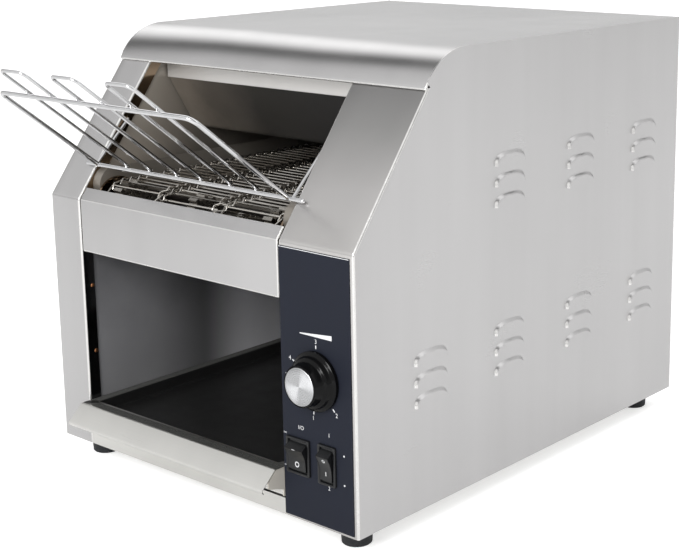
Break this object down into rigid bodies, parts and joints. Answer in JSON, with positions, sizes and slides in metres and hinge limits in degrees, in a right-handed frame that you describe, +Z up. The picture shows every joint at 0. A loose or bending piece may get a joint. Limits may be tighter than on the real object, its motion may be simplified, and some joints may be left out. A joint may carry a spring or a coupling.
{
  "type": "conveyor toaster",
  "caption": "Counter-top conveyor toaster with a sloping feed rack, a wire link belt, a speed knob, rocker switches and a slide-out toast tray.",
  "frame": {"origin": "middle of the whole length and width, on the surface that the feet stand on", "axes": "+X to the right seen from the front, +Y to the rear, +Z up"},
  "size_m": [0.376, 0.5746, 0.387],
  "materials": {
    "casing_steel": "satin stainless sheet, brushed along its length",
    "chamber_steel": "stainless sheet, browned by heat",
    "tray_steel": "satin stainless sheet",
    "pan_enamel": "dark baked coating",
    "belt_wire": "bright drawn stainless wire",
    "rack_wire": "bright chromed wire",
    "shaft_steel": "ground steel",
    "sprocket_steel": "machined steel",
    "disc_steel": "stamped steel",
    "bush_brass": "turned",
    "heater_sheath": "oxidised metal sheath",
    "ceramic": null,
    "motor_paint": "black painted steel",
    "bracket_zinc": "zinc-plated steel",
    "overlay_film": "printed matt film",
    "knob_black": "moulded phenolic",
    "knob_aluminium": "spun face",
    "switch_black": "moulded nylon",
    "inner_plastic": "moulded plastic",
    "terminal_white": "moulded plastic",
    "foot_rubber": "moulded"
  },
  "bodies": {
    "casing": {"left_side_panel": "casing_steel", "right_side_panel": "casing_steel", "top_cover": "casing_steel", "rear_panel": "casing_steel", "base_pan": "casing_steel", "front_fascia": "casing_steel", "header_strip": "casing_steel", "upper_baffle": "chamber_steel", "left_inner_wall": "chamber_steel", "right_inner_wall": "chamber_steel", "return_chute": "chamber_steel", "chamber_floor": "chamber_steel", "upper_reflector": "chamber_steel", "upper_heaters": "heater_sheath", "lower_heaters": "heater_sheath", "upper_heater_holders": "ceramic", "lower_heater_holders": "ceramic", "conveyor_belt": "belt_wire", "shaft_bushes": "bush_brass", "belt_support": "chamber_steel", "motor_bracket": "bracket_zinc", "gear_motor": "motor_paint", "fan_frame": "inner_plastic", "cable_gland": "inner_plastic", "terminal_block": "terminal_white", "feet": "foot_rubber", "control_overlay": "overlay_film", "speed_control": "inner_plastic", "power_switch_housing": "switch_black", "mode_switch_housing": "switch_black", "tray_rails": "chamber_steel"},
    "idler": {"front_shaft": "shaft_steel", "front_sprockets": "sprocket_steel", "belt_edge_discs": "disc_steel"},
    "drive": {"drive_shaft": "shaft_steel", "drive_sprockets": "sprocket_steel", "motor_stub_shaft": "shaft_steel", "shaft_coupling": "shaft_steel"},
    "fan": {"fan_rotor": "inner_plastic"},
    "knob": {"control_spindle": "shaft_steel", "speed_knob": "knob_black", "knob_cap": "knob_aluminium"},
    "power_rocker": {"power_switch_rocker": "switch_black"},
    "mode_rocker": {"mode_switch_rocker": "switch_black"},
    "tray": {"crumb_tray": "tray_steel", "toast_pan": "pan_enamel"},
    "rack": {"rack_bar": "rack_wire", "rack_frame": "rack_wire", "rack_loops": "rack_wire", "rack_arms": "rack_wire"}
  },
  "joints": [
    {"name": "belt_drive", "type": "hinge", "parent": "casing", "child": "drive", "pos_m": [0, 0.07737, 0.2386], "axis": [-1, 0, 0], "continuous": true, "deforming": ["conveyor_belt"]},
    {"name": "idler_spin", "type": "hinge", "parent": "casing", "child": "idler", "pos_m": [0, -0.15122, 0.2386], "axis": [-1, 0, 0], "continuous": true},
    {"name": "fan_spin", "type": "hinge", "parent": "casing", "child": "fan", "pos_m": [0.14, 0.27177, 0.127], "axis": [0, 1, 0], "continuous": true},
    {"name": "knob_turn", "type": "hinge", "parent": "casing", "child": "knob", "pos_m": [0.1435, -0.19473, 0.138], "axis": [0, -1, 0], "range_deg": [-150, 150]},
    {"name": "power_press", "type": "hinge", "parent": "casing", "child": "power_rocker", "pos_m": [0.12225, -0.18122, 0.0713], "axis": [1, 0, 0], "range_deg": [-24, 0]},
    {"name": "mode_press", "type": "hinge", "parent": "casing", "child": "mode_rocker", "pos_m": [0.1535, -0.18122, 0.0713], "axis": [1, 0, 0], "range_deg": [-24, 0]},
    {"name": "tray_slide", "type": "slide", "parent": "casing", "child": "tray", "axis": [0, -1, 0], "range_m": [0, 0.24]},
    {"name": "rack_lift", "type": "hinge", "parent": "casing", "child": "rack", "pos_m": [0, -0.1275, 0.30847], "axis": [1, 0, 0], "range_deg": [-115, 0]}
  ],
  "couplings": [
    {"joint": "idler_spin", "follows": "belt_drive", "ratio": 1}
  ]
}
